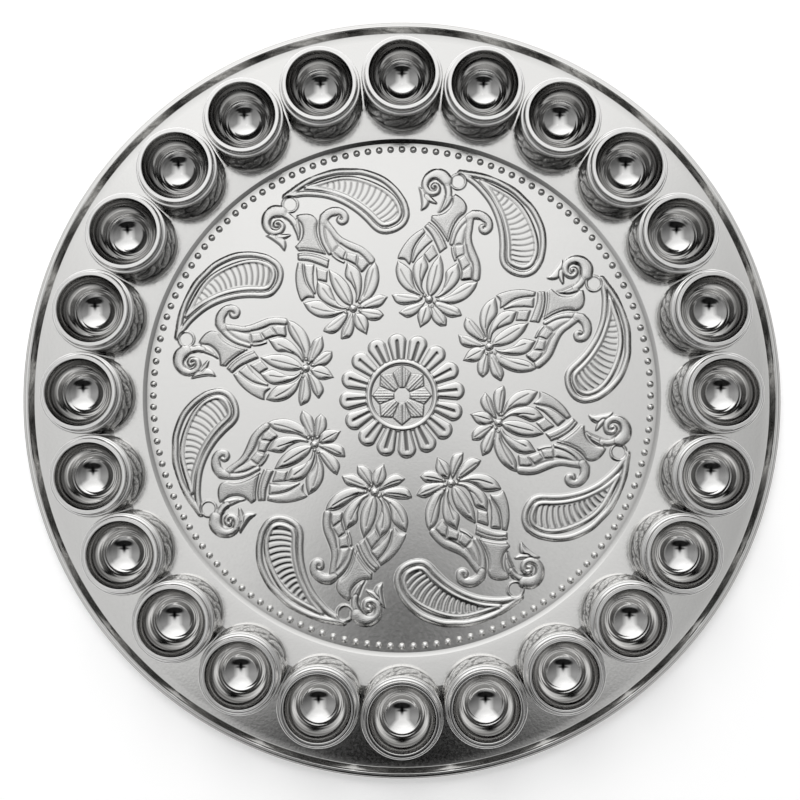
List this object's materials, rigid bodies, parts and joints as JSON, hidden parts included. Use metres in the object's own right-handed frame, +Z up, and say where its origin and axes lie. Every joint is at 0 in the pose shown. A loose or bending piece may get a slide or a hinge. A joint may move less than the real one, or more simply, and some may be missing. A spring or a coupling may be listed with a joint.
{
  "type": "thali with small cups",
  "caption": "Round silver tray with a rolled rim and an embossed well, with a ring of small loose cups standing on its border.",
  "frame": {"origin": "middle of the underside of the tray's well, the face that it rests on", "axes": "+Z up out of the tray, +Y towards the cup named cup_01, +X to its right seen from above"},
  "size_m": [0.3048, 0.3048, 0.0277],
  "materials": {
    "tray_silver": "polished silver sheet, pressed and lightly brushed",
    "cup_silver": "mirror polished silver, engraved on the body",
    "wire_steel": "plain drawn wire"
  },
  "bodies": {
    "tray": {"tray": "tray_silver", "rim_wire": "wire_steel"},
    "cup_01": {"cup_01": "cup_silver"},
    "cup_02": {"cup_02": "cup_silver"},
    "cup_03": {"cup_03": "cup_silver"},
    "cup_04": {"cup_04": "cup_silver"},
    "cup_05": {"cup_05": "cup_silver"},
    "cup_06": {"cup_06": "cup_silver"},
    "cup_07": {"cup_07": "cup_silver"},
    "cup_08": {"cup_08": "cup_silver"},
    "cup_09": {"cup_09": "cup_silver"},
    "cup_10": {"cup_10": "cup_silver"},
    "cup_11": {"cup_11": "cup_silver"},
    "cup_12": {"cup_12": "cup_silver"},
    "cup_13": {"cup_13": "cup_silver"},
    "cup_14": {"cup_14": "cup_silver"},
    "cup_15": {"cup_15": "cup_silver"},
    "cup_16": {"cup_16": "cup_silver"},
    "cup_17": {"cup_17": "cup_silver"},
    "cup_18": {"cup_18": "cup_silver"},
    "cup_19": {"cup_19": "cup_silver"},
    "cup_20": {"cup_20": "cup_silver"},
    "cup_21": {"cup_21": "cup_silver"},
    "cup_22": {"cup_22": "cup_silver"},
    "cup_23": {"cup_23": "cup_silver"},
    "cup_24": {"cup_24": "cup_silver"}
  },
  "joints": [
    {"name": "cup_01_lift", "type": "slide", "parent": "tray", "child": "cup_01", "axis": [0, 0, 1], "range_m": [0, 0.04]},
    {"name": "cup_02_lift", "type": "slide", "parent": "tray", "child": "cup_02", "axis": [0, 0, 1], "range_m": [0, 0.04]},
    {"name": "cup_03_lift", "type": "slide", "parent": "tray", "child": "cup_03", "axis": [0, 0, 1], "range_m": [0, 0.04]},
    {"name": "cup_04_lift", "type": "slide", "parent": "tray", "child": "cup_04", "axis": [0, 0, 1], "range_m": [0, 0.04]},
    {"name": "cup_05_lift", "type": "slide", "parent": "tray", "child": "cup_05", "axis": [0, 0, 1], "range_m": [0, 0.04]},
    {"name": "cup_06_lift", "type": "slide", "parent": "tray", "child": "cup_06", "axis": [0, 0, 1], "range_m": [0, 0.04]},
    {"name": "cup_07_lift", "type": "slide", "parent": "tray", "child": "cup_07", "axis": [0, 0, 1], "range_m": [0, 0.04]},
    {"name": "cup_08_lift", "type": "slide", "parent": "tray", "child": "cup_08", "axis": [0, 0, 1], "range_m": [0, 0.04]},
    {"name": "cup_09_lift", "type": "slide", "parent": "tray", "child": "cup_09", "axis": [0, 0, 1], "range_m": [0, 0.04]},
    {"name": "cup_10_lift", "type": "slide", "parent": "tray", "child": "cup_10", "axis": [0, 0, 1], "range_m": [0, 0.04]},
    {"name": "cup_11_lift", "type": "slide", "parent": "tray", "child": "cup_11", "axis": [0, 0, 1], "range_m": [0, 0.04]},
    {"name": "cup_12_lift", "type": "slide", "parent": "tray", "child": "cup_12", "axis": [0, 0, 1], "range_m": [0, 0.04]},
    {"name": "cup_13_lift", "type": "slide", "parent": "tray", "child": "cup_13", "axis": [0, 0, 1], "range_m": [0, 0.04]},
    {"name": "cup_14_lift", "type": "slide", "parent": "tray", "child": "cup_14", "axis": [0, 0, 1], "range_m": [0, 0.04]},
    {"name": "cup_15_lift", "type": "slide", "parent": "tray", "child": "cup_15", "axis": [0, 0, 1], "range_m": [0, 0.04]},
    {"name": "cup_16_lift", "type": "slide", "parent": "tray", "child": "cup_16", "axis": [0, 0, 1], "range_m": [0, 0.04]},
    {"name": "cup_17_lift", "type": "slide", "parent": "tray", "child": "cup_17", "axis": [0, 0, 1], "range_m": [0, 0.04]},
    {"name": "cup_18_lift", "type": "slide", "parent": "tray", "child": "cup_18", "axis": [0, 0, 1], "range_m": [0, 0.04]},
    {"name": "cup_19_lift", "type": "slide", "parent": "tray", "child": "cup_19", "axis": [0, 0, 1], "range_m": [0, 0.04]},
    {"name": "cup_20_lift", "type": "slide", "parent": "tray", "child": "cup_20", "axis": [0, 0, 1], "range_m": [0, 0.04]},
    {"name": "cup_21_lift", "type": "slide", "parent": "tray", "child": "cup_21", "axis": [0, 0, 1], "range_m": [0, 0.04]},
    {"name": "cup_22_lift", "type": "slide", "parent": "tray", "child": "cup_22", "axis": [0, 0, 1], "range_m": [0, 0.04]},
    {"name": "cup_23_lift", "type": "slide", "parent": "tray", "child": "cup_23", "axis": [0, 0, 1], "range_m": [0, 0.04]},
    {"name": "cup_24_lift", "type": "slide", "parent": "tray", "child": "cup_24", "axis": [0, 0, 1], "range_m": [0, 0.04]}
  ]
}
